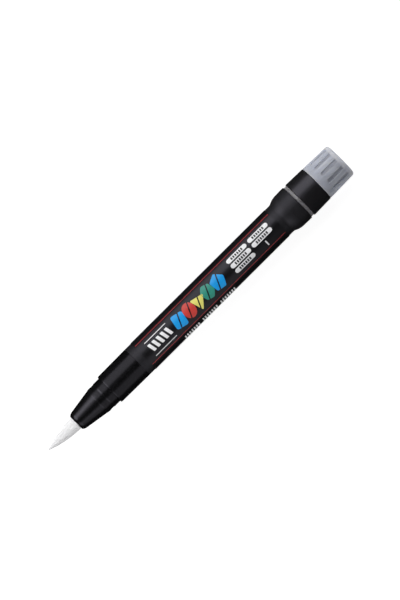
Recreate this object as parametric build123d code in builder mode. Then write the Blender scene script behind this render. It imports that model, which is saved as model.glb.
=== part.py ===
from build123d import *
import os

# Brush pen with a push tail, lying on its side, in millimetres.
# +X runs along the pen towards the brush, +Z is up, and the floor is at Z = 0.
# Pressing the tail knob slides the tank forward: the tank's seat leaves the fixed needle and paint flows.

# ---- Driving lengths, from the tail to the tip ----
knob_length = 12.4
band_length = 8.6
travel_gap = 1.25
barrel_length = 82.2
nose_length = 31.35
brush_length = 14.2
overall_length = knob_length + band_length + travel_gap + barrel_length + nose_length + brush_length

# ---- Driving radii ----
band_radius = 7.61
flare_radius = 7.59
skirt_radius = 7.22
barrel_radius = 6.43
seat_radius = 5.63
barrel_bore = 5.55
tank_radius = 4.95
tank_bore = 4.05
nose_bore = 4.2
nozzle_radius = 2.9
brush_radius = 2.68

# ---- Fits ----
running_clearance = 0.06
seal_clearance = 0.02
assembly_clearance = 0.02
axial_clearance = 0.4
edge_break = 0.15

# ---- Stations along the pen ----
tail_x = -overall_length / 2
knob_front_x = tail_x + knob_length
band_front_x = knob_front_x + band_length
mouth_x = band_front_x + travel_gap
joint_x = mouth_x + barrel_length
nose_x = joint_x + nose_length
tip_x = nose_x + brush_length

# ---- Moving tail unit ----
press_travel = 1.1
skirt_overlap = 2.0
tank_back_x = tail_x + 6.0
tank_front_x = joint_x - 12.9
housing_front_x = tank_front_x + 1.0
nozzle_front_x = housing_front_x + 10.5
nozzle_bore = 1.6
plug_front_x = tank_back_x + 5.0
knob_bore = 6.05
centring_radius = knob_bore - assembly_clearance

# ---- Fixed insides ----
spigot_back_x = joint_x - 10.0
holder_back_x = joint_x - 5.4
bridge_back_x = joint_x + 2.1
bridge_front_x = bridge_back_x + 1.5
holder_front_x = joint_x + 8.1
ferrule_back_x = nose_x - 10.7
ferrule_shoulder_x = ferrule_back_x + 1.5
ferrule_front_x = nose_x - 2.0
stem_radius = 0.8
core_radius = 1.2

# ---- Where everything turns ----
axis_height = band_radius
pen_axis = Axis((0, 0, axis_height), (1, 0, 0))
profile_plane = Plane(origin=(0, 0, axis_height), x_dir=(1, 0, 0), z_dir=(0, -1, 0))


def ring(back_x, front_x, inner_radius, outer_radius, mode=Mode.ADD):
    """A plain ring or rod round the pen's axis, added to or cut from the part being built."""
    middle = ((back_x + front_x) / 2, (inner_radius + outer_radius) / 2)
    with BuildSketch(profile_plane) as section:
        with Locations(middle):
            Rectangle(front_x - back_x, outer_radius - inner_radius)
    revolve(section.sketch, axis=pen_axis, mode=mode)


def o_ring(middle_x, ring_radius, cord_radius):
    """A seal of round section."""
    with BuildSketch(profile_plane) as section:
        with Locations((middle_x, ring_radius)):
            Circle(cord_radius)
    revolve(section.sketch, axis=pen_axis)


def finish(piece, name):
    """Names one finished piece and writes it."""
    piece.part.label = name
    export_step(piece.part, f"parts/{name}.step")


os.makedirs("parts", exist_ok=True)


# ---- Barrel: black tube, flared at the rear mouth ----
mouth_bore = skirt_radius + running_clearance
counterbore_front_x = mouth_x + skirt_overlap + press_travel + axial_clearance
flare_end_x = mouth_x + 1.8
shoulder_top = (mouth_x + 4.3, flare_radius - 0.07)
shoulder_foot = (mouth_x + 7.9, barrel_radius)
shoulder_foot_round = 2.0
inner_shoulder_top = (counterbore_front_x, shoulder_top[1] - 0.9)
inner_shoulder_foot = (mouth_x + 7.5, barrel_bore)
lip_round = 0.2
lip_start = (mouth_x, flare_radius - lip_round)
lip_end = (mouth_x + lip_round, flare_radius)
joint_edge_break = 0.06

with BuildPart() as barrel:
    with BuildSketch(profile_plane) as barrel_profile:
        with BuildLine():
            Line((mouth_x, mouth_bore), lip_start)
            TangentArc(lip_start, lip_end, tangent=(0, 1))
            Polyline(lip_end, (flare_end_x, flare_radius), shoulder_top)
            TangentArc(shoulder_top, shoulder_foot, tangent=(1, -0.03))
            Polyline(
                shoulder_foot,
                (joint_x - joint_edge_break, barrel_radius),
                (joint_x, barrel_radius - joint_edge_break),
                (joint_x, barrel_bore),
                inner_shoulder_foot,
            )
            TangentArc(inner_shoulder_top, inner_shoulder_foot, tangent=(1, 0))
            Polyline(
                inner_shoulder_top,
                (counterbore_front_x, mouth_bore),
                (mouth_x, mouth_bore),
            )
        make_face()
        foot_corner = barrel_profile.vertices().sort_by_distance((*shoulder_foot, 0))[0]
        fillet(foot_corner, radius=shoulder_foot_round)
    revolve(axis=pen_axis)
finish(barrel, "barrel")


# ---- Label: printed film wrapped round the barrel ----
label_thickness = 0.12
label_back_x = mouth_x + 10.55
label_front_x = joint_x - 3.0

with BuildPart() as label_film:
    ring(label_back_x, label_front_x, barrel_radius, barrel_radius + label_thickness)
finish(label_film, "label_film")


# ---- Nose: collar, cap seat, snap groove and tapered nose, with a spigot inside the barrel ----
step_x = joint_x + 14.3
collar_front_radius = 6.31
collar_bevel_length = 0.5
collar_round_length = 0.2
collar_round_drop = 0.33
collar_bevel_slope = (1, -0.34)
seat_end_x = step_x + 2.7
snap_groove_radius = 5.48
groove_back_x = seat_end_x + 0.55
cone_back = (step_x + 5.15, 5.57)
ramp_back = (step_x + 6.0, 5.485)
ramp_front = (step_x + 6.35, 5.365)
cone_front = (nose_x - 1.6, 3.95)
cone_slope = (cone_front[0] - ramp_front[0], cone_front[1] - ramp_front[1])
groove_front_x = cone_back[0] - 0.9
groove_crest = (cone_back[0] - 0.3, seat_radius - 0.06)
nose_face_radius = 3.05
nose_opening = brush_radius + 0.08
spigot_radius = barrel_bore - assembly_clearance
nose_seal_x = joint_x - 6.0
nose_seal_cord = 0.4
nose_seal_radius = spigot_radius - nose_seal_cord
ferrule_radius = 3.13
collar_bevel_end = (
    step_x - collar_round_length,
    collar_front_radius + collar_bevel_slope[1] * (collar_bevel_length - collar_round_length),
)
collar_round_end = (step_x, collar_front_radius - collar_round_drop)

with BuildPart() as nose_cone:
    with BuildSketch(profile_plane):
        with BuildLine():
            Polyline(
                (spigot_back_x, nose_bore),
                (spigot_back_x, spigot_radius - 2 * edge_break),
                (spigot_back_x + 2 * edge_break, spigot_radius),
                (joint_x, spigot_radius),
                (joint_x, barrel_radius - joint_edge_break),
                (joint_x + joint_edge_break, barrel_radius),
                (step_x - collar_bevel_length, collar_front_radius),
                collar_bevel_end,
            )
            TangentArc(collar_bevel_end, collar_round_end, tangent=collar_bevel_slope)
            Polyline(
                collar_round_end,
                (step_x, seat_radius),
                (seat_end_x, seat_radius),
                (groove_back_x, snap_groove_radius),
                (groove_front_x, snap_groove_radius),
                groove_crest,
                cone_back,
                ramp_back,
                ramp_front,
                cone_front,
            )
            TangentArc(cone_front, (nose_x, nose_face_radius), tangent=cone_slope)
            Polyline(
                (nose_x, nose_face_radius),
                (nose_x, nose_opening),
                (ferrule_front_x, nose_opening),
                (ferrule_front_x, ferrule_radius + assembly_clearance),
                (ferrule_shoulder_x, ferrule_radius + assembly_clearance),
                (ferrule_shoulder_x, nose_bore),
                (spigot_back_x, nose_bore),
            )
        make_face()
    revolve(axis=pen_axis)
    ring(
        nose_seal_x - nose_seal_cord,
        nose_seal_x + nose_seal_cord,
        nose_seal_radius - nose_seal_cord,
        spigot_radius + 1,
        mode=Mode.SUBTRACT,
    )
finish(nose_cone, "nose_cone")

with BuildPart() as nose_seal:
    o_ring(nose_seal_x, nose_seal_radius, nose_seal_cord)
finish(nose_seal, "nose_seal")


# ---- Brush: ferrule and bristles ----
with BuildPart() as brush_ferrule:
    ring(ferrule_back_x, ferrule_front_x, brush_radius, ferrule_radius)
    ring(ferrule_back_x, ferrule_shoulder_x, ferrule_radius - edge_break, nose_bore - assembly_clearance)
finish(brush_ferrule, "brush_ferrule")

tuft_back_x = ferrule_back_x + 1.0
core_front_x = nose_x + 0.8
tuft_tip_radius = 0.05

with BuildPart() as brush_tuft:
    with BuildSketch(profile_plane):
        with BuildLine():
            Polyline(
                (core_front_x, 0),
                (core_front_x, core_radius),
                (tuft_back_x, core_radius),
                (tuft_back_x, brush_radius),
                (nose_x, brush_radius),
            )
            TangentArc((nose_x, brush_radius), (tip_x, tuft_tip_radius), tangent=(1, 0))
            Polyline((tip_x, tuft_tip_radius), (tip_x, 0), (core_front_x, 0))
        make_face()
    revolve(axis=pen_axis)
finish(brush_tuft, "brush_tuft")


# ---- Feed: core, sponge, liner and holder ----
with BuildPart() as feed_core:
    ring(bridge_front_x + 0.5, core_front_x, 0, core_radius)
    chamfer(feed_core.edges().group_by(Axis.X)[-1], length=0.3)
finish(feed_core, "feed_core")

buffer_front_x = ferrule_back_x - 0.4
liner_inner_radius = nose_bore - 0.35

with BuildPart() as feed_buffer:
    ring(holder_front_x, buffer_front_x, core_radius, liner_inner_radius - assembly_clearance)
finish(feed_buffer, "feed_buffer")

with BuildPart() as buffer_tube:
    ring(holder_front_x, ferrule_back_x, liner_inner_radius, nose_bore - assembly_clearance)
finish(buffer_tube, "buffer_tube")

guide_bore = nozzle_radius + running_clearance
flow_hole_count = 4
flow_hole_radius = 0.55
flow_hole_circle = 1.9
bridge_plane = Plane(origin=(bridge_back_x, 0, axis_height), x_dir=(0, 1, 0), z_dir=(1, 0, 0))

with BuildPart() as feed_holder:
    ring(holder_back_x, holder_front_x, 0, nose_bore - assembly_clearance)
    ring(holder_back_x - 1, bridge_back_x, 0, guide_bore, mode=Mode.SUBTRACT)
    ring(bridge_front_x, holder_front_x + 1, 0, 3.2, mode=Mode.SUBTRACT)
    ring(bridge_back_x - 1, bridge_front_x + 1, 0, stem_radius, mode=Mode.SUBTRACT)
    with BuildSketch(bridge_plane):
        with PolarLocations(flow_hole_circle, flow_hole_count):
            Circle(flow_hole_radius)
    extrude(amount=bridge_front_x - bridge_back_x, mode=Mode.SUBTRACT)
    chamfer(feed_holder.edges().group_by(Axis.X)[0].sort_by(SortBy.RADIUS)[0], length=0.3)
finish(feed_holder, "feed_holder")


# ---- Valve: fixed needle, return spring and its washer ----
gasket_front_x = tank_front_x - 0.5
gasket_thickness = 0.8
gasket_back_x = gasket_front_x - gasket_thickness
head_radius = 2.1
head_front_x = gasket_back_x - seal_clearance
head_back_x = head_front_x - 1.3

with BuildPart() as valve_needle:
    ring(head_back_x, bridge_front_x, 0, stem_radius)
    ring(head_back_x, head_front_x, 0, head_radius)
    chamfer(valve_needle.edges().group_by(Axis.X)[0], length=0.5)
finish(valve_needle, "valve_needle")

washer_thickness = 0.5
washer_back_x = holder_back_x - washer_thickness

with BuildPart() as spring_washer:
    ring(washer_back_x, holder_back_x, nozzle_radius + 0.4, nose_bore - 0.1)
finish(spring_washer, "spring_washer")

spring_radius = 3.62
spring_wire_radius = 0.22
spring_turns = 4.5
spring_back_x = housing_front_x + spring_wire_radius + 0.05
spring_height = washer_back_x - spring_wire_radius - 0.02 - spring_back_x

with BuildPart() as return_spring:
    with BuildLine() as spring_path:
        Helix(
            pitch=spring_height / spring_turns,
            height=spring_height,
            radius=spring_radius,
            center=(spring_back_x, 0, axis_height),
            direction=(1, 0, 0),
        )
    with BuildSketch(Plane(origin=spring_path.line @ 0, z_dir=spring_path.line % 0)):
        Circle(spring_wire_radius)
    sweep(path=spring_path.line, is_frenet=True)
finish(return_spring, "return_spring")


# ---- Guide ring: the tank's bearing in the barrel ----
guide_back_x = mouth_x + 10.0
guide_front_x = guide_back_x + 3.0

with BuildPart() as guide_ring:
    ring(guide_back_x, guide_front_x, tank_radius + running_clearance, barrel_bore)
finish(guide_ring, "guide_ring")


# ---- Tank: long tube that slides with the knob, and its stop collar ----
collar_back_x = guide_front_x + axial_clearance
collar_width = 1.2
collar_front_x = collar_back_x + collar_width
collar_groove_radius = tank_radius - 0.2
centring_back_x = mouth_x - 3.0
centring_front_x = mouth_x - 1.0

with BuildPart() as ink_tank:
    ring(tank_back_x, tank_front_x, tank_bore, tank_radius)
    ring(centring_back_x, centring_front_x, tank_bore, centring_radius)
    ring(collar_back_x, collar_front_x, collar_groove_radius, tank_radius + 1, mode=Mode.SUBTRACT)
finish(ink_tank, "ink_tank")

with BuildPart() as stop_collar:
    ring(collar_back_x, collar_front_x, collar_groove_radius, barrel_bore - 0.3)
finish(stop_collar, "stop_collar")


# ---- Valve housing: plug in the tank's front, with the nozzle and its seal ----
housing_back_x = tank_front_x - 6.0
chamber_radius = 2.6
neck_seal_x = nozzle_front_x - 1.5
neck_seal_cord = 0.35
neck_seal_radius = guide_bore - seal_clearance - neck_seal_cord

with BuildPart() as valve_housing:
    ring(housing_back_x, tank_front_x, nozzle_bore, tank_bore - assembly_clearance)
    ring(tank_front_x, housing_front_x, nozzle_bore, tank_radius)
    ring(housing_front_x, nozzle_front_x, nozzle_bore, nozzle_radius)
    ring(housing_back_x - 1, gasket_front_x, 0, chamber_radius, mode=Mode.SUBTRACT)
    ring(
        neck_seal_x - neck_seal_cord,
        neck_seal_x + neck_seal_cord,
        neck_seal_radius - neck_seal_cord,
        nozzle_radius + 1,
        mode=Mode.SUBTRACT,
    )
finish(valve_housing, "valve_housing")

with BuildPart() as neck_seal:
    o_ring(neck_seal_x, neck_seal_radius, neck_seal_cord)
finish(neck_seal, "neck_seal")

with BuildPart() as seat_gasket:
    ring(gasket_back_x, gasket_front_x, nozzle_bore, chamber_radius - assembly_clearance)
finish(seat_gasket, "seat_gasket")


# ---- Rear plug of the tank and its seal ----
plug_flange_back_x = tank_back_x - 2.0
plug_radius = tank_bore - assembly_clearance
plug_seal_cord = 0.4
plug_seal_x = tank_back_x + 2.5
plug_seal_radius = plug_radius - plug_seal_cord

with BuildPart() as tank_plug:
    ring(plug_flange_back_x, tank_back_x, 0, centring_radius)
    ring(tank_back_x, plug_front_x, 0, plug_radius)
    ring(plug_flange_back_x - 1, plug_front_x - 1.2, 0, 2.4, mode=Mode.SUBTRACT)
    ring(
        plug_seal_x - plug_seal_cord,
        plug_seal_x + plug_seal_cord,
        plug_seal_radius - plug_seal_cord,
        plug_radius + 1,
        mode=Mode.SUBTRACT,
    )
finish(tank_plug, "tank_plug")

with BuildPart() as plug_seal:
    o_ring(plug_seal_x, plug_seal_radius, plug_seal_cord)
finish(plug_seal, "plug_seal")


# ---- Mixing ball: rests by the plug and runs forward to the valve housing ----
ball_radius = 3.25
ball_rest_x = plug_front_x + ball_radius + axial_clearance
ball_stop_x = housing_back_x - (ball_radius**2 - chamber_radius**2) ** 0.5 - axial_clearance

with BuildPart() as mixing_ball:
    with Locations((ball_rest_x, 0, axis_height)):
        Sphere(ball_radius)
finish(mixing_ball, "mixing_ball")


# ---- Tail knob: clouded, fluted, with a skirt that runs in the barrel's mouth ----
knob_front_radius = 7.35
knob_back_radius = 7.1
knob_round = 1.1
knob_floor = 1.6
sleeve_seat_radius = 6.9
sleeve_seat_front_x = band_front_x - 0.9
skirt_front_x = mouth_x + skirt_overlap
boss_inner_radius = 3.0
boss_outer_radius = 4.0

flute_count = 13
flute_offset_angle = -7.7
flute_width = 1.5
flute_depth = 0.3
flute_back_x = tail_x + 1.7
flute_front_x = tail_x + 9.4
flute_middle_radius = (knob_front_radius + knob_back_radius) / 2

with BuildPart() as tail_knob:
    with BuildSketch(profile_plane):
        with BuildLine():
            end_edge = (tail_x, knob_back_radius - knob_round)
            side_start = (tail_x + knob_round, knob_back_radius)
            Line((tail_x, 0), end_edge)
            TangentArc(end_edge, side_start, tangent=(0, 1))
            Polyline(
                side_start,
                (knob_front_x - 2 * edge_break, knob_front_radius),
                (knob_front_x, knob_front_radius - edge_break),
                (knob_front_x, sleeve_seat_radius),
                (sleeve_seat_front_x, sleeve_seat_radius),
                (sleeve_seat_front_x, skirt_radius),
                (skirt_front_x - edge_break, skirt_radius),
                (skirt_front_x, skirt_radius - edge_break),
                (skirt_front_x, knob_bore),
                (tail_x + knob_floor, knob_bore),
                (tail_x + knob_floor, boss_outer_radius),
                (plug_flange_back_x, boss_outer_radius),
                (plug_flange_back_x, boss_inner_radius),
                (tail_x + knob_floor, boss_inner_radius),
                (tail_x + knob_floor, 0),
                (tail_x, 0),
            )
        make_face()
    revolve(axis=pen_axis)
    for flute in range(flute_count):
        turned_plane = Plane.XY.rotated((-(flute_offset_angle + flute * 360 / flute_count), 0, 0))
        outward = turned_plane.z_dir
        flute_floor = Vector(0, 0, axis_height) + outward * (flute_middle_radius - flute_depth)
        with BuildSketch(Plane(origin=flute_floor, x_dir=(1, 0, 0), z_dir=outward)):
            round_middle_x = flute_front_x - flute_width / 2
            with Locations(((flute_back_x + round_middle_x) / 2, 0)):
                Rectangle(round_middle_x - flute_back_x, flute_width)
            with Locations((round_middle_x, 0)):
                Circle(flute_width / 2)
        extrude(amount=flute_depth + 1, mode=Mode.SUBTRACT)
finish(tail_knob, "tail_knob")


# ---- Tail sleeve: black band held in the knob's groove ----
sleeve_back_radius = 7.42
sleeve_back_round = 0.45
sleeve_round = 0.15

with BuildPart() as tail_sleeve:
    with BuildSketch(profile_plane):
        with BuildLine():
            back_corner = (knob_front_x, sleeve_back_radius - sleeve_back_round)
            side_start = (knob_front_x + sleeve_back_round, sleeve_back_radius)
            Line((knob_front_x, sleeve_seat_radius + assembly_clearance), back_corner)
            TangentArc(back_corner, side_start, tangent=(0, 1))
            Polyline(
                side_start,
                (band_front_x - 3 * sleeve_round, band_radius),
                (band_front_x - sleeve_round, band_radius),
                (band_front_x, band_radius - sleeve_round),
                (band_front_x, skirt_radius + assembly_clearance),
                (sleeve_seat_front_x, skirt_radius + assembly_clearance),
                (sleeve_seat_front_x, sleeve_seat_radius + assembly_clearance),
                (knob_front_x, sleeve_seat_radius + assembly_clearance),
            )
        make_face()
    revolve(axis=pen_axis)
finish(tail_sleeve, "tail_sleeve")

print(f"overall length {overall_length:.2f}, press travel {press_travel:.2f}")
print(f"ball travel {ball_stop_x - ball_rest_x:.2f}")
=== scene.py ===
import math
import random

import bmesh
import bpy
from mathutils import Matrix, Vector


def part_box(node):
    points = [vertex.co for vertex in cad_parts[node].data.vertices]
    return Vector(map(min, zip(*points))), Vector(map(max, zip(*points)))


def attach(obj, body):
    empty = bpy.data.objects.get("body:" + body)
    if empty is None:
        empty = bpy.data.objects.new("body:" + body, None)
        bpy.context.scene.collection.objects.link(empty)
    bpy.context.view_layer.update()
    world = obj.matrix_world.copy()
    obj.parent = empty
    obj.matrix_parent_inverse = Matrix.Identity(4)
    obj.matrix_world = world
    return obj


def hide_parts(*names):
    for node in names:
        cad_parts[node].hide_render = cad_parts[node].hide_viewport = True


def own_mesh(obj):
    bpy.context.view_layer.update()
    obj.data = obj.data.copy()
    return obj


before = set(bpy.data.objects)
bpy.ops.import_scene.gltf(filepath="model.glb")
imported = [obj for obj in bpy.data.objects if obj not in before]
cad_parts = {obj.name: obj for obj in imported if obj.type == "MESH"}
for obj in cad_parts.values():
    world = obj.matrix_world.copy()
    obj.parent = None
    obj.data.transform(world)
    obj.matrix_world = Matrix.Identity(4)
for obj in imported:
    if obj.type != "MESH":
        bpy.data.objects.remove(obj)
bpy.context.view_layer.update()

# The pen lies along X with its brush towards +X. Sizes here are in metres. The art on the label is laid
# out in millimetres along the label, from its front edge towards the tail, and in millimetres or degrees
# round it, from its top towards +Y.
MM = 0.001

label_low, label_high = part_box("label_film")
tuft_low, tuft_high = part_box("brush_tuft")
nose_face_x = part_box("nose_cone")[1].x
knob_back_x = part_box("tail_knob")[0].x
knob_front_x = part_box("tail_sleeve")[0].x

axis_z = (label_low.z + label_high.z) / 2
label_radius = (label_high.z - label_low.z) / 2
label_front_x = label_high.x


# ---- Materials -----------------------------------------------------------------------------------

plastic_ior = 1.49
noise_low, noise_high = 0.3, 0.7


def shader_of(material):
    return material.node_tree.nodes["Principled BSDF"]


def new_material(name):
    """A material with one Principled shader; returns the material, its node tree and that shader."""
    material = bpy.data.materials.new(name)
    material.use_nodes = True
    return material, material.node_tree, shader_of(material)


def place_coordinates(tree, stretch=(1, 1, 1)):
    """The place on the object at rest, scaled along each axis before a pattern reads it."""
    coordinates = tree.nodes.new("ShaderNodeTexCoord")
    mapping = tree.nodes.new("ShaderNodeMapping")
    mapping.inputs["Scale"].default_value = stretch
    tree.links.new(coordinates.outputs["Object"], mapping.inputs["Vector"])
    return mapping.outputs["Vector"]


def noise(tree, vector, size, detail=3.0, roughness=0.5):
    """A noise pattern whose spots are about `size` metres across."""
    node = tree.nodes.new("ShaderNodeTexNoise")
    node.inputs["Scale"].default_value = 1 / size
    node.inputs["Detail"].default_value = detail
    node.inputs["Roughness"].default_value = roughness
    tree.links.new(vector, node.inputs["Vector"])
    return node.outputs["Fac"]


def ramp(tree, value, dark, light):
    """Turns a noise value into a colour: dark up to noise_low, light from noise_high."""
    node = tree.nodes.new("ShaderNodeValToRGB")
    node.color_ramp.elements[0].position = noise_low
    node.color_ramp.elements[1].position = noise_high
    node.color_ramp.elements[0].color = (*dark, 1)
    node.color_ramp.elements[1].color = (*light, 1)
    tree.links.new(value, node.inputs["Fac"])
    return node.outputs["Color"]


def spread(tree, value, low, high):
    """Turns a value from 0 to 1 into one from low to high."""
    node = tree.nodes.new("ShaderNodeMapRange")
    node.inputs["To Min"].default_value = low
    node.inputs["To Max"].default_value = high
    tree.links.new(value, node.inputs["Value"])
    return node.outputs["Result"]


def bump(tree, shader, value, height):
    """Small relief of the given height in metres."""
    node = tree.nodes.new("ShaderNodeBump")
    node.inputs["Distance"].default_value = height
    node.inputs["Strength"].default_value = 1
    tree.links.new(value, node.inputs["Height"])
    tree.links.new(node.outputs["Normal"], shader.inputs["Normal"])


def moulded_plastic(name, dark, light, smooth, rough, grain=0.12 * MM, relief=0.003 * MM, mottle=6 * MM):
    """Injection-moulded plastic: faint colour mottling, uneven gloss and a fine grain."""
    material, tree, shader = new_material(name)
    place = place_coordinates(tree)
    mottling = noise(tree, place, mottle)
    tree.links.new(ramp(tree, mottling, dark, light), shader.inputs["Base Color"])
    gloss = noise(tree, place, mottle / 3)
    tree.links.new(spread(tree, gloss, smooth, rough), shader.inputs["Roughness"])
    bump(tree, shader, noise(tree, place, grain, detail=2.0), relief)
    shader.inputs["IOR"].default_value = plastic_ior
    return material


def fibrous(name, dark, light, stretch, thread, rough, relief=0.01 * MM):
    """Fibres or foam: spots as wide as a thread, drawn out along the pen where stretch is small."""
    material, tree, shader = new_material(name)
    place = place_coordinates(tree, stretch)
    streaks = noise(tree, place, thread, detail=4.0, roughness=0.65)
    tree.links.new(ramp(tree, streaks, dark, light), shader.inputs["Base Color"])
    tree.links.new(spread(tree, streaks, rough - 0.1, rough + 0.1), shader.inputs["Roughness"])
    bump(tree, shader, streaks, relief)
    return material


def drawn_metal(name, dark, light, rough):
    """Drawn or turned steel with fine lines round the pen."""
    material, tree, shader = new_material(name)
    line_stretch = (1, 0.15, 0.15)
    line_width = 0.2 * MM
    place = place_coordinates(tree, line_stretch)
    lines = noise(tree, place, line_width, detail=4.0)
    tree.links.new(ramp(tree, lines, dark, light), shader.inputs["Base Color"])
    tree.links.new(spread(tree, lines, rough * 0.8, rough * 1.3), shader.inputs["Roughness"])
    shader.inputs["Metallic"].default_value = 1
    return material


black_mottle_dark = (0.85, 0.85, 0.90)
black_mottle_light = (1.15, 1.15, 1.25)
black_gloss_tint = (0.89, 0.86, 1, 1)


def black_plastic(name, shade, smooth, rough, gloss):
    """Black moulding: `shade` is its grey, and gloss 0.5 is the usual shine of plastic."""
    dark = tuple(shade * share for share in black_mottle_dark)
    light = tuple(shade * share for share in black_mottle_light)
    material = moulded_plastic(name, dark, light, smooth, rough)
    shader = shader_of(material)
    shader.inputs["Specular IOR Level"].default_value = gloss
    shader.inputs["Specular Tint"].default_value = black_gloss_tint
    return material


def blended(tree, factor, first, second, blend="MIX"):
    """Mixes two colours, each a colour or a socket, by a factor that is a number or a socket."""
    node = tree.nodes.new("ShaderNodeMix")
    node.data_type = "RGBA"
    node.blend_type = blend
    for name, value in (("Factor", factor), ("A", first), ("B", second)):
        if isinstance(value, bpy.types.NodeSocket):
            tree.links.new(value, node.inputs[name])
        elif isinstance(value, tuple):
            node.inputs[name].default_value = (*value, 1)
        else:
            node.inputs[name].default_value = value
    return node.outputs["Result"]


def step_between(tree, value, low, high):
    """0 up to low, 1 from high, straight in between; low may be the larger."""
    node = tree.nodes.new("ShaderNodeMapRange")
    node.inputs["From Min"].default_value = low
    node.inputs["From Max"].default_value = high
    tree.links.new(value, node.inputs["Value"])
    return node.outputs["Result"]


# The knob's tones: its wall is thinner in the flutes, and thicker at the end and beside the band.
flute_tone = (0.345, 0.36, 0.417)
wall_tone = (0.445, 0.466, 0.528)
end_tone = (0.55, 0.558, 0.595)
band_tone = (0.50, 0.515, 0.57)
skirt_tone = (0.245, 0.24, 0.255)
cloud_tone, clear_tone = (0.90, 0.90, 0.91), (1, 1, 1)
cloud_size, knob_grain, knob_relief = 4 * MM, 0.15 * MM, 0.003 * MM
flute_floor_radius, wall_radius = 6.98 * MM, 7.06 * MM
end_start_x, end_full_x = knob_back_x + 2.1 * MM, knob_back_x + 1.5 * MM
band_start_x, band_full_x = knob_front_x - 0.9 * MM, knob_front_x - 0.5 * MM
skirt_start_x, skirt_full_x = knob_front_x + 1 * MM, knob_front_x + 2 * MM


def distance_from_axis(tree, place):
    """How far a place is from the pen's axis."""
    centred = tree.nodes.new("ShaderNodeVectorMath")
    centred.operation = "MULTIPLY_ADD"
    centred.inputs[1].default_value = (0, 1, 1)
    centred.inputs[2].default_value = (0, 0, -axis_z)
    tree.links.new(place, centred.inputs[0])
    distance = tree.nodes.new("ShaderNodeVectorMath")
    distance.operation = "LENGTH"
    tree.links.new(centred.outputs["Vector"], distance.inputs[0])
    return distance.outputs["Value"]


def place_along(tree, place):
    """Where a place is along the pen."""
    split = tree.nodes.new("ShaderNodeSeparateXYZ")
    tree.links.new(place, split.inputs["Vector"])
    return split.outputs["X"]


def clouded_plastic():
    """Clouded polypropylene, with a tone for each thickness of its wall."""
    material, tree, shader = new_material("clouded_plastic")
    place = place_coordinates(tree)
    along = place_along(tree, place)
    outside = step_between(tree, distance_from_axis(tree, place), flute_floor_radius, wall_radius)
    colour = blended(tree, outside, flute_tone, wall_tone)
    colour = blended(tree, step_between(tree, along, end_start_x, end_full_x), colour, end_tone)
    colour = blended(tree, step_between(tree, along, band_start_x, band_full_x), colour, band_tone)
    colour = blended(tree, step_between(tree, along, skirt_start_x, skirt_full_x), colour, skirt_tone)
    clouds = noise(tree, place, cloud_size, detail=4.0)
    colour = blended(tree, 1.0, colour, ramp(tree, clouds, cloud_tone, clear_tone), "MULTIPLY")
    tree.links.new(colour, shader.inputs["Base Color"])
    tree.links.new(spread(tree, clouds, 0.30, 0.42), shader.inputs["Roughness"])
    bump(tree, shader, noise(tree, place, knob_grain, detail=2.0), knob_relief)
    shader.inputs["IOR"].default_value = plastic_ior
    shader.inputs["Subsurface Weight"].default_value = 0.9
    shader.inputs["Subsurface Radius"].default_value = (1.0, 1.05, 1.2)
    shader.inputs["Subsurface Scale"].default_value = 3.2 * MM
    return material


def bristle_nylon():
    """White nylon with faint streaks along the brush."""
    material = fibrous(
        "bristle_nylon",
        dark=(0.79, 0.79, 0.80),
        light=(0.87, 0.87, 0.875),
        stretch=(0.03, 1, 1),
        thread=0.4 * MM,
        rough=0.5,
        relief=0.002 * MM,
    )
    shader_of(material).inputs["Sheen Weight"].default_value = 0.1
    return material


def printed_ink(name, colour):
    """Screen-printed ink: even colour with a slight mottle, a little glossier than the film."""
    dark = tuple(channel * 0.93 for channel in colour)
    return moulded_plastic(
        "ink_" + name,
        dark,
        colour,
        smooth=0.28,
        rough=0.36,
        grain=0.1 * MM,
        relief=0.0015 * MM,
        mottle=1.2 * MM,
    )


def floor_paper():
    """Matt paper with a glow of its own, so that it stays white under soft light."""
    material, tree, shader = new_material("floor_paper")
    place = place_coordinates(tree)
    tone = noise(tree, place, 60 * MM)
    tree.links.new(ramp(tree, tone, (0.30, 0.30, 0.30), (0.32, 0.32, 0.32)), shader.inputs["Base Color"])
    shader.inputs["Roughness"].default_value = 0.9
    shader.inputs["Specular IOR Level"].default_value = 0
    shader.inputs["Emission Color"].default_value = (1, 1, 1, 1)
    shader.inputs["Emission Strength"].default_value = 0.9
    return material


white_moulding = moulded_plastic("natural_moulding", (0.62, 0.62, 0.60), (0.74, 0.74, 0.72), 0.35, 0.5)
dark_moulding = moulded_plastic("dark_moulding", (0.05, 0.05, 0.06), (0.085, 0.085, 0.10), 0.35, 0.5)
black_rubber = moulded_plastic("seal_rubber", (0.012, 0.012, 0.012), (0.02, 0.02, 0.02), 0.5, 0.65)
clear_tube = moulded_plastic("liner_film", (0.55, 0.58, 0.62), (0.66, 0.68, 0.72), 0.15, 0.25)
spring_steel = drawn_metal("spring_steel", (0.50, 0.50, 0.51), (0.68, 0.68, 0.70), 0.28)
ball_steel = drawn_metal("ball_steel", (0.56, 0.56, 0.57), (0.72, 0.72, 0.73), 0.12)
sponge = fibrous("sponge", (0.66, 0.66, 0.62), (0.86, 0.86, 0.83), (1, 1, 1), 0.35 * MM, 0.8, 0.06 * MM)
felt_rod = fibrous("felt_rod", (0.70, 0.70, 0.67), (0.86, 0.86, 0.83), (0.05, 1, 1), 0.12 * MM, 0.75)

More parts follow.
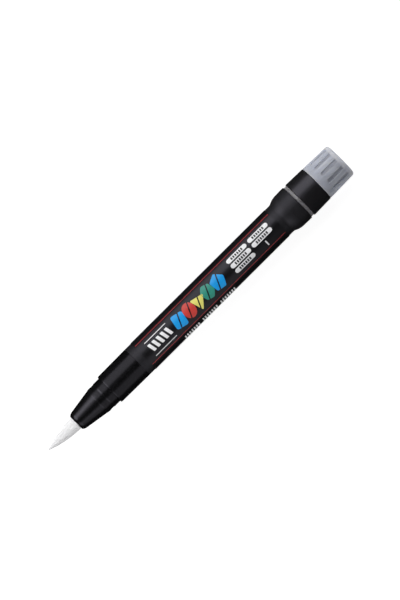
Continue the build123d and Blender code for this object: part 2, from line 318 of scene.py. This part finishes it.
node_materials = {
    "barrel": black_plastic("barrel_black", 0.008, 0.46, 0.52, 0.62),
    "nose_cone": black_plastic("nose_black", 0.0035, 0.22, 0.27, 0.5),
    "tail_sleeve": black_plastic("sleeve_black", 0.009, 0.31, 0.37, 0.85),
    "label_film": black_plastic("film_black", 0.0055, 0.28, 0.34, 0.65),
    "tail_knob": clouded_plastic(),
    "brush_ferrule": white_moulding,
    "feed_holder": white_moulding,
    "valve_housing": white_moulding,
    "guide_ring": white_moulding,
    "stop_collar": white_moulding,
    "valve_needle": white_moulding,
    "ink_tank": dark_moulding,
    "tank_plug": dark_moulding,
    "nose_seal": black_rubber,
    "neck_seal": black_rubber,
    "plug_seal": black_rubber,
    "seat_gasket": black_rubber,
    "buffer_tube": clear_tube,
    "feed_buffer": sponge,
    "feed_core": felt_rod,
    "spring_washer": spring_steel,
    "mixing_ball": ball_steel,
}
for node_name, node_material in node_materials.items():
    node_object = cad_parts[node_name]
    node_object.data.materials.clear()
    node_object.data.materials.append(node_material)


# ---- Brush: separate tapered bristles round a core -----------------------------------------------

brush_start_x = nose_face_x
brush_tip_x = tuft_high.x
brush_length = brush_tip_x - brush_start_x
brush_radius = (tuft_high.z - tuft_low.z) / 2
ogive_radius = (brush_length**2 + brush_radius**2) / (2 * brush_radius)

bristle_seed = 7
# Each layer's number of bristles, and its depth as a share of the outline.
bristle_layers = ((300, 1.0), (200, 0.955), (110, 0.88))
bristle_depth_scatter = (0.985, 1.0)
bristle_radius = 0.065 * MM
bristle_radius_scatter = (0.8, 1.2)
bristle_tip_radius = 0.008 * MM
bristle_root_x = brush_start_x - 2.2 * MM
bristle_end_crowding = 6  # the larger, the more bristles reach the brush's tip
bristle_end_scatter = (0.97, 1.0)
shortest_bristle = 0.25 * brush_length
bristle_drift = 2  # degrees round the brush
bristle_wander = 0.02 * MM
taper_share, taper_power = 0.4, 0.7

core_end_x = brush_tip_x - 0.5 * MM
core_share, core_inset = 0.985, 0.03 * MM
core_tip_radius = 0.02 * MM


def brush_outline(x):
    """The tuft's radius at x: straight in the nose, then an arc that meets the axis at the tip."""
    along = min(max(x - brush_start_x, 0), brush_length)
    return brush_radius - ogive_radius + math.sqrt(ogive_radius**2 - along**2)


def bristle_length_for(share):
    """How far from the nose the outline has narrowed to this share of its full radius."""
    drop = brush_radius * (1 - share)
    return math.sqrt(ogive_radius**2 - (ogive_radius - drop) ** 2)


def add_tube(mesh, centres, radii, sides=5, reference=(0, 0, 1)):
    """A closed tube through the centres; reference is a direction that the tube never points along."""
    rings = []
    for index, (centre, radius) in enumerate(zip(centres, radii)):
        ahead = centres[min(index + 1, len(centres) - 1)] - centres[max(index - 1, 0)]
        across = ahead.cross(Vector(reference)).normalized()
        upward = across.cross(ahead).normalized()
        ring = []
        for side in range(sides):
            angle = 2 * math.pi * side / sides
            offset = across * (math.cos(angle) * radius) + upward * (math.sin(angle) * radius)
            ring.append(mesh.verts.new(centre + offset))
        rings.append(ring)
    for back, front in zip(rings, rings[1:]):
        for side in range(sides):
            after = (side + 1) % sides
            mesh.faces.new((back[side], back[after], front[after], front[side]))
    mesh.faces.new(rings[0][::-1])
    mesh.faces.new(rings[-1])


def finished_object(name, mesh, material, smooth=True):
    """Turns a bmesh into an object with its material."""
    bmesh.ops.recalc_face_normals(mesh, faces=mesh.faces)
    data = bpy.data.meshes.new(name)
    mesh.to_mesh(data)
    mesh.free()
    for face in data.polygons:
        face.use_smooth = smooth
    data.materials.append(material)
    piece = bpy.data.objects.new(name, data)
    bpy.context.scene.collection.objects.link(piece)
    return piece


def add_bristle(mesh, chance, angle, depth, stations=12):
    """One bristle: it follows the outline at its own depth, drifts round a little and ends in a taper."""
    end = bristle_length_for(chance.random() ** bristle_end_crowding)
    end_x = brush_start_x + max(end, shortest_bristle) * chance.uniform(*bristle_end_scatter)
    drift = math.radians(chance.uniform(-bristle_drift, bristle_drift))
    wander = chance.uniform(-bristle_wander, bristle_wander)
    thick = bristle_radius * chance.uniform(*bristle_radius_scatter)
    centres = []
    radii = []
    for station in range(stations):
        share = station / (stations - 1)
        x = bristle_root_x + (end_x - bristle_root_x) * share
        taper = min(1, (1 - share) / taper_share) ** taper_power
        radius = max(thick * taper, bristle_tip_radius)
        reach = max(brush_outline(x) * depth + wander * share - radius, 0)
        turn = angle + drift * share
        centres.append(Vector((x, math.sin(turn) * reach, axis_z + math.cos(turn) * reach)))
        radii.append(radius)
    add_tube(mesh, centres, radii)


def make_bristles():
    """All bristles: loose layers, evenly spread round the pen by the golden angle."""
    chance = random.Random(bristle_seed)
    mesh = bmesh.new()
    golden_angle = math.pi * (3 - math.sqrt(5))
    number = 0
    for count, layer_depth in bristle_layers:
        for _ in range(count):
            number += 1
            depth = layer_depth * chance.uniform(*bristle_depth_scatter)
            add_bristle(mesh, chance, number * golden_angle, depth)
    return finished_object("bristles", mesh, bristle_nylon())


def make_bristle_core(stations=20):
    """The packed bristles under the surface, as one tapered body."""
    mesh = bmesh.new()
    centres = []
    radii = []
    for station in range(stations):
        share = station / (stations - 1)
        x = bristle_root_x + (core_end_x - bristle_root_x) * share
        centres.append(Vector((x, 0, axis_z)))
        radii.append(max(brush_outline(x) * core_share - core_inset, core_tip_radius))
    add_tube(mesh, centres, radii, sides=40)
    return finished_object("bristle_core", mesh, bpy.data.materials["bristle_nylon"])


bristles = make_bristles()
bristle_core = make_bristle_core()
for piece in (bristles, bristle_core):
    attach(piece, "body")
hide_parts("brush_tuft")


# ---- Return spring: coils closed at both ends ----------------------------------------------------

wire_radius = 0.22 * MM
spring_turns = 6
closed_pitch = 2.1 * wire_radius
spring_low, spring_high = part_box("return_spring")
spring_length = spring_high.x - spring_low.x


def make_spring(steps_per_turn=36):
    """A coil whose first and last turn lie close, with the rest evenly open."""
    coil_radius = (spring_high.z - spring_low.z) / 2 - wire_radius
    open_pitch = (spring_length - 2 * wire_radius - 2 * closed_pitch) / (spring_turns - 2)
    centres = []
    for step in range(spring_turns * steps_per_turn + 1):
        turn = step / steps_per_turn
        open_turns = min(max(turn - 1, 0), spring_turns - 2)
        x = spring_low.x + wire_radius + open_turns * open_pitch + (turn - open_turns) * closed_pitch
        angle = 2 * math.pi * turn
        centres.append(Vector((x, math.sin(angle) * coil_radius, axis_z + math.cos(angle) * coil_radius)))
    mesh = bmesh.new()
    add_tube(mesh, centres, [wire_radius] * len(centres), sides=8, reference=(1, 0, 0))
    return finished_object("spring_wire", mesh, spring_steel)


spring_wire = make_spring()
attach(spring_wire, "body")
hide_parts("return_spring")
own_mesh(spring_wire)


# ---- Print on the label --------------------------------------------------------------------------
# A shape is a list of corners (along, around): millimetres from the label's front edge towards the
# tail, and millimetres round the label from its top towards +Y.

ink_lift = 0.008 * MM
ink_thickness = 0.012 * MM
wrap_step = 0.25  # millimetres round the label between the folds that bend a shape to it


def degrees_round(angle):
    """Millimetres round the label for an angle from its top."""
    return math.radians(angle) * label_radius / MM


def bar(along, around, length, width, lean=0.0):
    """A bar centred at a point; lean shears its ends along the pen."""
    half_length, half_width = length / 2, width / 2
    return [
        (along - half_length - lean, around - half_width),
        (along + half_length - lean, around - half_width),
        (along + half_length + lean, around + half_width),
        (along - half_length + lean, around + half_width),
    ]


def regular(along, around, sides, radius, turn, stretch):
    """A regular polygon, turned by some degrees and then stretched round the label."""
    corners = []
    for side in range(sides):
        angle = math.radians(turn) + 2 * math.pi * side / sides
        corner = (along + math.cos(angle) * radius, around + math.sin(angle) * radius * stretch)
        corners.append(corner)
    return corners


def softened(corners, cut, steps=6):
    """Rounds each corner with a quadratic curve that starts `cut` millimetres before it."""
    outline = []
    for index, corner in enumerate(corners):
        before = Vector(corners[index - 1])
        after = Vector(corners[(index + 1) % len(corners)])
        middle = Vector(corner)
        start = middle + (before - middle).normalized() * cut
        end = middle + (after - middle).normalized() * cut
        for step in range(steps + 1):
            t = step / steps
            outline.append(tuple(start * (1 - t) ** 2 + middle * 2 * t * (1 - t) + end * t**2))
    return outline


def pill(along, around, length, width, steps=10):
    """A bar with round ends."""
    outline = []
    round_radius = width / 2
    straight = length / 2 - round_radius
    for end in (1, -1):
        for step in range(steps + 1):
            angle = math.pi * (step / steps - 0.5)
            x = along + end * (straight + math.cos(angle) * round_radius)
            y = around + end * math.sin(angle) * round_radius
            outline.append((x, y))
    return outline


def printed(name, shapes, material, layer=0):
    """Wraps flat shapes round the label as one thin closed skin of ink."""
    mesh = bmesh.new()
    for shape in shapes:
        mesh.faces.new([mesh.verts.new((along, around, 0)) for along, around in shape])
    lowest = min(vertex.co.y for vertex in mesh.verts)
    highest = max(vertex.co.y for vertex in mesh.verts)
    for cut in range(math.ceil(lowest / wrap_step), math.floor(highest / wrap_step) + 1):
        bmesh.ops.bisect_plane(
            mesh,
            geom=mesh.verts[:] + mesh.edges[:] + mesh.faces[:],
            plane_co=(0, cut * wrap_step, 0),
            plane_no=(0, 1, 0),
        )
    raised = bmesh.ops.extrude_face_region(mesh, geom=mesh.faces[:], use_keep_orig=True)
    for element in raised["geom"]:
        if isinstance(element, bmesh.types.BMVert):
            element.co.z = 1
    base = label_radius + ink_lift + layer * (ink_thickness + ink_lift)
    for vertex in mesh.verts:
        radius = base + vertex.co.z * ink_thickness
        angle = vertex.co.y * MM / label_radius
        x = label_front_x - vertex.co.x * MM
        vertex.co = (x, math.sin(angle) * radius, axis_z + math.cos(angle) * radius)
    piece = finished_object(name, mesh, material, smooth=False)
    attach(piece, "body")
    return piece


label_length = (label_high.x - label_low.x) / MM
white_ink = printed_ink("white", (0.86, 0.86, 0.88))
grey_ink = printed_ink("grey", (0.05, 0.05, 0.055))
line_ink = printed_ink("line_red", (0.43, 0.045, 0.05))
swatch_inks = {
    "red": printed_ink("red", (0.60, 0.052, 0.042)),
    "blue": printed_ink("blue", (0.006, 0.33, 0.80)),
    "green": printed_ink("green", (0.035, 0.29, 0.22)),
    "yellow": printed_ink("yellow", (0.80, 0.74, 0.18)),
}

# Two long red rules frame the printed side.
rule_angles = (-44.3, 43.2)
rule_length, rule_width = label_length - 0.6, 0.24
rule_shapes = []
for angle in rule_angles:
    rule_shapes.append(bar(label_length / 2, degrees_round(angle), rule_length, rule_width))
printed("print_rules", rule_shapes, line_ink)

# Two short white rules with a generic mark of leaning bars between them.
mark_start, mark_end = 3.4, 14.0
mark_middle = (mark_start + mark_end) / 2
mark_length = mark_end - mark_start
mark_rule_angles = (-26, 29.5)
mark_rule_width = 0.28
mark_bar_count = 5
mark_bar_pitch = mark_length / mark_bar_count
mark_bar_length, mark_bar_width, mark_bar_lean, mark_bar_softness = 1.25, 3.3, 0.35, 0.3
mark_shapes = []
for angle in mark_rule_angles:
    mark_shapes.append(bar(mark_middle, degrees_round(angle), mark_length, mark_rule_width))
for number in range(mark_bar_count):
    mark_bar_along = mark_start + (number + 0.5) * mark_bar_pitch
    mark_bar = bar(mark_bar_along, 0, mark_bar_length, mark_bar_width, mark_bar_lean)
    mark_shapes.append(softened(mark_bar, mark_bar_softness))
printed("print_mark", mark_shapes, white_ink)

# Five plain colour tiles, each split by a slanting gap.
tile_gap = 0.5
tile_gap_lean = 0.45


def kept_side(corners, middle, side):
    """The part of a shape on one side of the slanting gap through its middle."""
    normal = Vector((1, tile_gap_lean)).normalized() * side

    def height(corner):
        return (Vector(corner) - Vector(middle)).dot(normal) - tile_gap / 2

    outline = []
    for index, corner in enumerate(corners):
        before = corners[index - 1]
        if height(before) * height(corner) < 0:
            share = height(before) / (height(before) - height(corner))
            outline.append(tuple(Vector(before).lerp(Vector(corner), share)))
        if height(corner) >= 0:
            outline.append(corner)
    return outline


def tile(along, around, sides, radius, turn, stretch, corner_cut):
    """A regular tile with soft corners, split in two."""
    corners = softened(regular(along, around, sides, radius, turn, stretch), corner_cut)
    return [kept_side(corners, (along, around), side) for side in (1, -1)]


# Each tile's name, ink, place along and around, sides, radius, turn, stretch and corner cut.
tiles = (
    ("blue", "blue", 18.4, 0.1, 4, 3.5, 57, 1.12, 1.0),
    ("red", "red", 23.55, 0.0, 16, 2.6, 0, 1.24, 0.4),
    ("yellow", "yellow", 28.15, 0.2, 3, 3.3, 102, 1.1, 0.7),
    ("green", "green", 32.95, -0.1, 6, 2.9, 15, 1.14, 0.7),
    ("blue_rear", "blue", 38.2, 0.0, 5, 3.2, -8, 1.1, 0.6),
)
for tile_name, ink_name, *measures in tiles:
    printed("print_tile_" + tile_name, tile(*measures), swatch_inks[ink_name])

# Five white pills in two columns, each with a row of plain blocks.
pill_length, pill_width = 9.75, 1.78
front_column, rear_column = 50.1, 60.85
pill_columns = ((front_column, (-22.5, -1.6, 19.4)), (rear_column, (-22.5, -1.6)))
block_count = 6
block_pitch = 1.0
block_length, block_width = 0.66, 1.05
pill_shapes = []
block_shapes = []
for column_along, angles in pill_columns:
    for angle in angles:
        around = degrees_round(angle)
        pill_shapes.append(pill(column_along, around, pill_length, pill_width))
        for number in range(block_count):
            block_along = column_along + (number - (block_count - 1) / 2) * block_pitch
            block_shapes.append(bar(block_along, around, block_length, block_width))
printed("print_pills", pill_shapes, white_ink)
printed("print_blocks", block_shapes, grey_ink, layer=1)

# One short upright tick beside the pills.
tick_angle, tick_thickness, tick_height = 23.5, 0.5, 2.2
tick = bar(rear_column, degrees_round(tick_angle), tick_thickness, tick_height)
printed("print_tick", [tick], white_ink)

# A row of fine ticks low on the side, in groups with a gap after each.
scale_start, scale_end, scale_pitch = 16.0, 42.3, 1.13
scale_tick_thickness = 0.55
scale_group = 8
scale_low_angle, scale_high_angle = 58, 80
scale_middle = degrees_round((scale_low_angle + scale_high_angle) / 2)
scale_height = degrees_round(scale_high_angle - scale_low_angle)
scale_shapes = []
for number in range(int((scale_end - scale_start) / scale_pitch) + 1):
    if number % scale_group != scale_group - 1:
        scale_along = scale_start + number * scale_pitch
        scale_shapes.append(bar(scale_along, scale_middle, scale_tick_thickness, scale_height))
printed("print_scale", scale_shapes, white_ink)


# ---- Floor, lights and camera --------------------------------------------------------------------


def make_floor(half=12):
    """A floor that reaches `half` each way; the pen's gloss doesn't mirror it."""
    mesh = bmesh.new()
    corners = ((-half, -half), (half, -half), (half, half), (-half, half))
    mesh.faces.new([mesh.verts.new((x, y, 0)) for x, y in corners])
    floor = finished_object("floor", mesh, floor_paper(), smooth=False)
    floor.visible_glossy = False


def facing(location, target):
    """The turn that points an object's -Z from location to target."""
    return (Vector(target) - Vector(location)).to_track_quat("-Z", "Y").to_euler()


def panel(name, location, target, length, width, radiance, in_gloss=True, cone=180):
    """A soft rectangular light that shines into a cone of so many degrees.

    Its radiance is 1 where it looks as bright as white paper. A narrower cone holds the same power.
    """
    light = bpy.data.lights.new(name, "AREA")
    light.shape = "RECTANGLE"
    light.size = length
    light.size_y = width
    light.energy = radiance * math.pi * width * length
    light.spread = math.radians(cone)
    lamp = bpy.data.objects.new(name, light)
    lamp.location = location
    lamp.rotation_euler = facing(location, target)
    lamp.visible_glossy = in_gloss
    lamp.visible_camera = False
    bpy.context.scene.collection.objects.link(lamp)


def side_panel(name, angle, distance, half_angle, back_x, front_x, radiance, in_gloss=True):
    """A panel along the pen, `angle` degrees from the top towards +Y, that fills half_angle each side."""
    turn = math.radians(angle)
    width = 2 * distance * math.tan(math.radians(half_angle))
    middle_x = (back_x + front_x) / 2
    location = (middle_x, math.sin(turn) * distance, axis_z + math.cos(turn) * distance)
    panel(name, location, (middle_x, 0, axis_z), front_x - back_x, width, radiance, in_gloss)


def white_surroundings():
    """White all round behind the floor. It gives no light of its own: that comes from the panels."""
    world = bpy.data.worlds.new("studio")
    bpy.context.scene.world = world
    world.use_nodes = True
    background = world.node_tree.nodes["Background"]
    background.inputs["Color"].default_value = (1, 1, 1, 1)
    background.inputs["Strength"].default_value = 1
    world.cycles_visibility.diffuse = False
    world.cycles_visibility.glossy = False
    world.cycles_visibility.transmission = False
    world.cycles_visibility.scatter = False


camera_height = 3.0
camera_sensor, camera_lens = 36, 495.4
camera_target = Vector((-2.60 * MM, 0.10 * MM, axis_z))
camera_location = Vector((59.55 * MM, 0.10 * MM, axis_z + camera_height))
picture_up = Vector((-0.7056, -0.7086, 0))


def make_camera():
    """A very long lens above the nose. The pen crosses the picture from corner to corner."""
    data = bpy.data.cameras.new("camera")
    data.sensor_width = camera_sensor
    data.lens = camera_lens
    data.clip_end = 20
    camera = bpy.data.objects.new("camera", data)
    forward = (camera_target - camera_location).normalized()
    right = forward.cross(picture_up).normalized()
    upward = right.cross(forward)
    turn = Matrix((right, upward, -forward)).transposed()
    camera.matrix_world = Matrix.Translation(camera_location) @ turn.to_4x4()
    bpy.context.scene.collection.objects.link(camera)
    bpy.context.scene.camera = camera


# The places on the pen that the lights face.
nose = (0.05, 0, axis_z)
brush = (0.068, 0, axis_z)
tail = (-0.075, 0, axis_z)

make_floor()
white_surroundings()
side_panel("key", -46, 0.7, half_angle=28, back_x=-0.8, front_x=0.8, radiance=0.90)
side_panel("tail_key", -46, 0.2, half_angle=26, back_x=-0.4, front_x=0.0, radiance=0.28)
side_panel("fill", 58, 0.13, half_angle=28, back_x=-0.035, front_x=0.25, radiance=0.42)
side_panel("soft", -45, 1.2, half_angle=20, back_x=-0.8, front_x=0.8, radiance=1.3, in_gloss=False)
panel("sky", (0, 0, 2), (0, 0, 0), 3, 3, radiance=0.2, in_gloss=False)
panel("front_key", (0.32, -0.30, 0.26), nose, 0.36, 0.36, radiance=1.7)
panel("brush_fill", (0.13, 0.10, 0.20), brush, 0.15, 0.15, radiance=0.30, in_gloss=False, cone=60)
panel("front_fill", (0.32, 0.30, 0.22), nose, 0.30, 0.30, radiance=0.6)
panel("tail_back", (-0.60, 0.12, 0.05), tail, 0.30, 0.30, radiance=1.6, in_gloss=False)
make_camera()
bpy.context.scene.view_settings.view_transform = "Standard"
